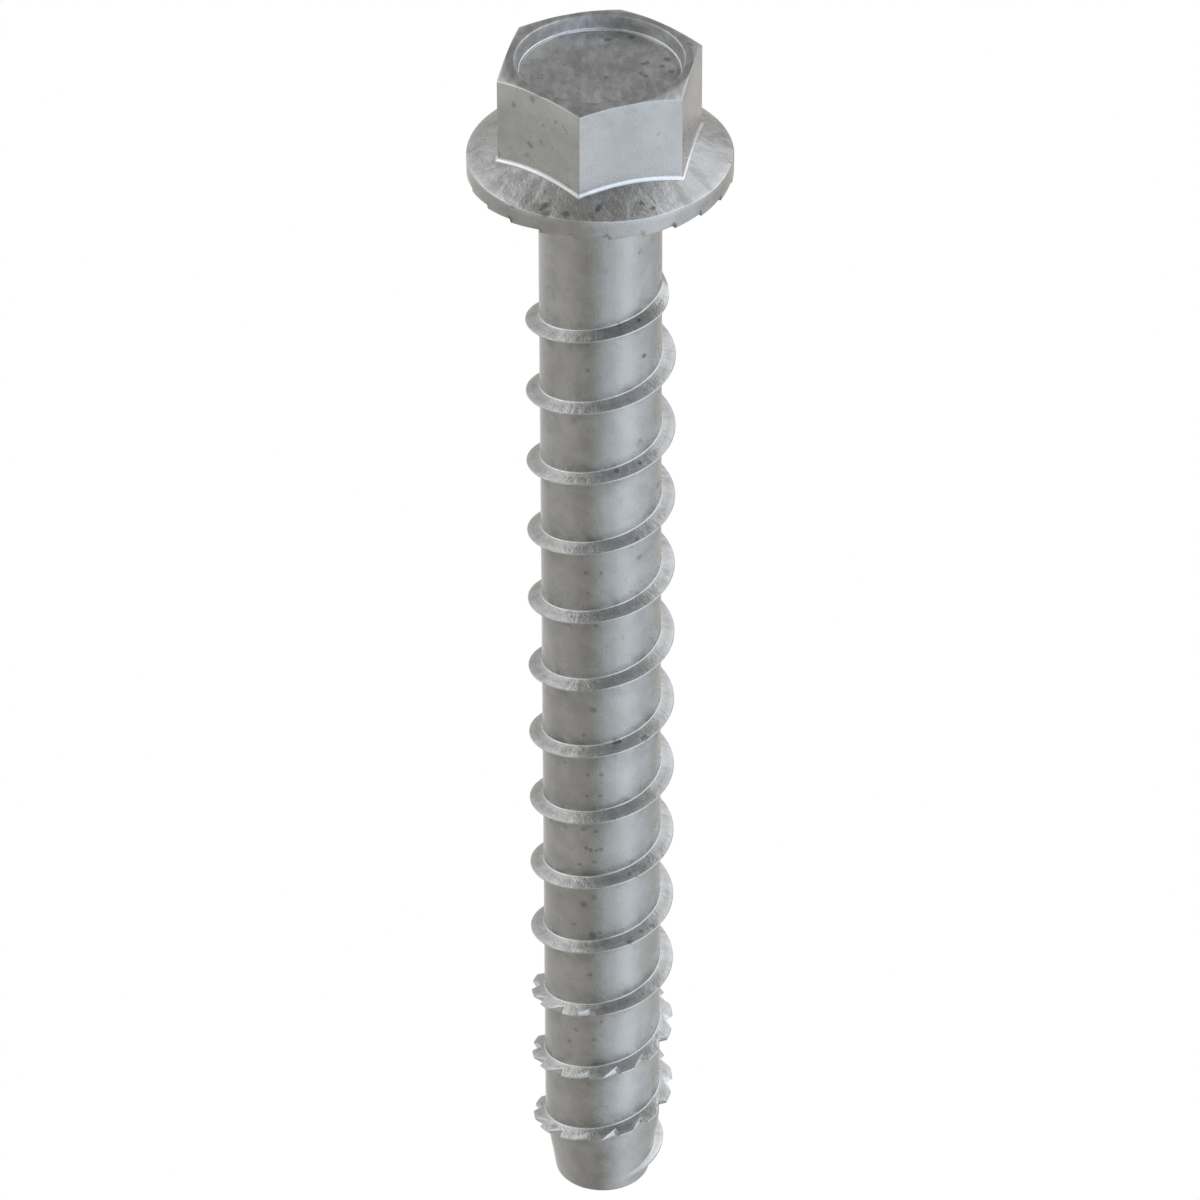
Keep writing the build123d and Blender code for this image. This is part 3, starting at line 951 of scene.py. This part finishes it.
def floor_material(look):
    """Pale floor that fades to white away from the screw. From below, and to all rays but the
    camera's own, it is clear, so that the top of the head is lit and seen from underneath."""
    material = bpy.data.materials.new("studio floor")
    material.use_nodes = True
    n = Nodes(material.node_tree)
    at = n.add("ShaderNodeTexCoord").outputs["Object"]
    fade = n.ramp(n.vector("LENGTH", at).outputs["Value"], *FLOOR_FADE)
    matte = n.add("ShaderNodeBsdfDiffuse", {"Color": (*look.floor, 1)})
    white = n.add("ShaderNodeEmission", {"Color": (1, 1, 1, 1), "Strength": 1.0})
    clear = n.add("ShaderNodeBsdfTransparent")
    glow = n.add("ShaderNodeEmission", {"Color": (1, 1, 1, 1), "Strength": look.floor_glow})
    pale = n.add("ShaderNodeAddShader", {0: matte.outputs[0], 1: glow.outputs[0]})
    surface = n.add("ShaderNodeMixShader", {0: fade, 1: pale.outputs[0], 2: white.outputs[0]})
    seen = n.math("MULTIPLY", n.add("ShaderNodeLightPath").outputs["Is Camera Ray"],
                  n.math("SUBTRACT", 1.0, n.add("ShaderNodeNewGeometry").outputs["Backfacing"]))
    shader = n.add("ShaderNodeMixShader", {0: seen, 1: clear.outputs[0], 2: surface.outputs[0]})
    n.add("ShaderNodeOutputMaterial", {0: shader.outputs[0]})
    return material


# The soft lights of the studio. Each has its direction in degrees, seen from the screw: round
# from the photograph's side towards its right, and up towards the head. Then its colour, where
# white surroundings have 1.
SOFT_LIGHTS = (
    (-11, 44, (0.29, 0.35, 0.44)), (126, 39, (0.92, 0.97, 1.06)),
    (-96, 35, (0.74, 0.78, 0.84)), (41, 30, (0.77, 0.89, 1.15)),
    (179, 32, (0.09, 0.10, 0.14)), (94, 17, (0.68, 0.68, 0.69)),
    (-129, 13, (0.65, 0.67, 0.71)), (-76, 2, (0.30, 0.32, 0.33)),
    (29, -22, (0.58, 0.65, 0.75)), (166, -26, (0.53, 0.53, 0.54)),
    (-56, -30, (0.25, 0.25, 0.27)), (81, -35, (0.56, 0.61, 0.69)),
    (-141, -39, (0.41, 0.42, 0.45)), (180, -86, (0.15, 0.16, 0.18)),
)
LIGHT_REACH = 48.0


def soft_light_group():
    """One soft light in the surroundings: full in its own direction and fading smoothly to
    nothing at the edge of its reach, added to the light that is already there."""
    tree, n, given = new_group("Soft light", {"Direction": "Vector", "Towards": "Vector",
                                              "Light": "Color", "Before": "Color"},
                               {"Color": "Color"})
    near = n.vector("DOT_PRODUCT", given["Direction"], given["Towards"]).outputs["Value"]
    amount = n.ramp(near, math.cos(math.radians(LIGHT_REACH)), 1.0)
    n.add("NodeGroupOutput", {"Color": n.mix(amount, given["Before"], given["Light"], "ADD")})
    return tree


def studio_world(screw, look):
    """Plain soft studio light from all round, and white where the camera itself looks."""
    world = bpy.data.worlds.new("studio")
    world.use_nodes = True
    n = Nodes(world.node_tree)
    direction = n.add("ShaderNodeTexCoord").outputs["Generated"]
    one_light = soft_light_group()
    light = n.add("ShaderNodeRGB").outputs[0]
    light.default_value = (*look.plain, 1)
    for azimuth, elevation, tint in SOFT_LIGHTS:
        a, e = math.radians(azimuth), math.radians(elevation)
        towards = (math.sin(a) * math.cos(e), -math.cos(a) * math.cos(e), math.sin(e))
        towards = screw.stand_direction(towards)
        light = n.group(one_light, {"Direction": direction, "Towards": towards, "Before": light,
                                    "Light": (*tint, 1)}).outputs["Color"]
    seen = n.add("ShaderNodeLightPath").outputs["Is Camera Ray"]
    lit = n.add("ShaderNodeBackground", {"Color": light, "Strength": look.light})
    white = n.add("ShaderNodeBackground", {"Color": (1, 1, 1, 1), "Strength": 1.0})
    both = n.add("ShaderNodeMixShader", {0: seen, 1: lit.outputs[0], 2: white.outputs[0]})
    n.add("ShaderNodeOutputWorld", {0: both.outputs[0]})
    return world


class SCREW_OT_make_stage(bpy.types.Operator):
    """Makes the floor, the soft surroundings and the photograph's camera"""
    bl_idname = "concrete_screw.make_stage"
    bl_label = "Stage"

    def execute(self, context):
        scene = context.scene
        screw = Screw(scene)
        look = scene.screw_stage
        floor, r = bpy.data.meshes.new("floor"), FLOOR_REACH
        floor.from_pydata([(-r, -r, 0), (r, -r, 0), (r, r, 0), (-r, r, 0)], [], [(0, 1, 2, 3)])
        show("floor", floor, floor_material(look))

        scene.world = studio_world(screw, look)

        e = math.radians(CAMERA_ELEVATION)
        back = np.array((0.0, -math.cos(e), math.sin(e)))
        place = screw.stand_point(np.array((0, 0, CAMERA_AIM)) + CAMERA_DISTANCE * back)
        forward = screw.stand_direction(-back)
        up = screw.stand_direction((0.0, math.sin(e), math.cos(e)))
        right = forward.cross(up)
        turn = Matrix((right, up, -forward)).transposed()
        turn = turn @ Matrix.Rotation(math.radians(CAMERA_ROLL), 3, "Z")
        data = bpy.data.cameras.new("camera")
        data.sensor_width = SENSOR
        data.lens = LENS_PIXELS / IMAGE * SENSOR
        data.shift_x = (IMAGE / 2 - IMAGE_CENTRE) / IMAGE
        data.clip_start, data.clip_end = NEAREST, FURTHEST
        camera = bpy.data.objects.new("camera", data)
        camera.matrix_world = Matrix.LocRotScale(place, turn.to_quaternion(), None)
        scene.collection.objects.link(camera)
        scene.camera = camera
        scene.view_settings.view_transform = "Standard"
        return {"FINISHED"}


class SCREW_PT_panel(bpy.types.Panel):
    """The buttons that make the screw and its stage"""
    bl_label = "Concrete screw"
    bl_idname = "SCREW_PT_panel"
    bl_space_type = "VIEW_3D"
    bl_region_type = "UI"
    bl_category = "Concrete screw"

    def draw(self, context):
        for kind in OPERATORS:
            self.layout.operator(kind.bl_idname)
        for key in GROUPS:
            box = self.layout.box()
            group = getattr(context.scene, key)
            for name in GROUPS[key].__annotations__:
                box.prop(group, name)


OPERATORS = (SCREW_OT_make_screw, SCREW_OT_make_stage)


def register():
    for kind in (*GROUPS.values(), *OPERATORS, SCREW_PT_panel):
        bpy.utils.register_class(kind)
    for key, kind in GROUPS.items():
        setattr(bpy.types.Scene, key, PointerProperty(type=kind))


def unregister():
    for key in GROUPS:
        delattr(bpy.types.Scene, key)
    for kind in (SCREW_PT_panel, *reversed(OPERATORS), *GROUPS.values()):
        bpy.utils.unregister_class(kind)


def main():
    register()
    bpy.ops.concrete_screw.make_screw()
    bpy.ops.concrete_screw.make_stage()


if __name__ == "__main__":
    main()
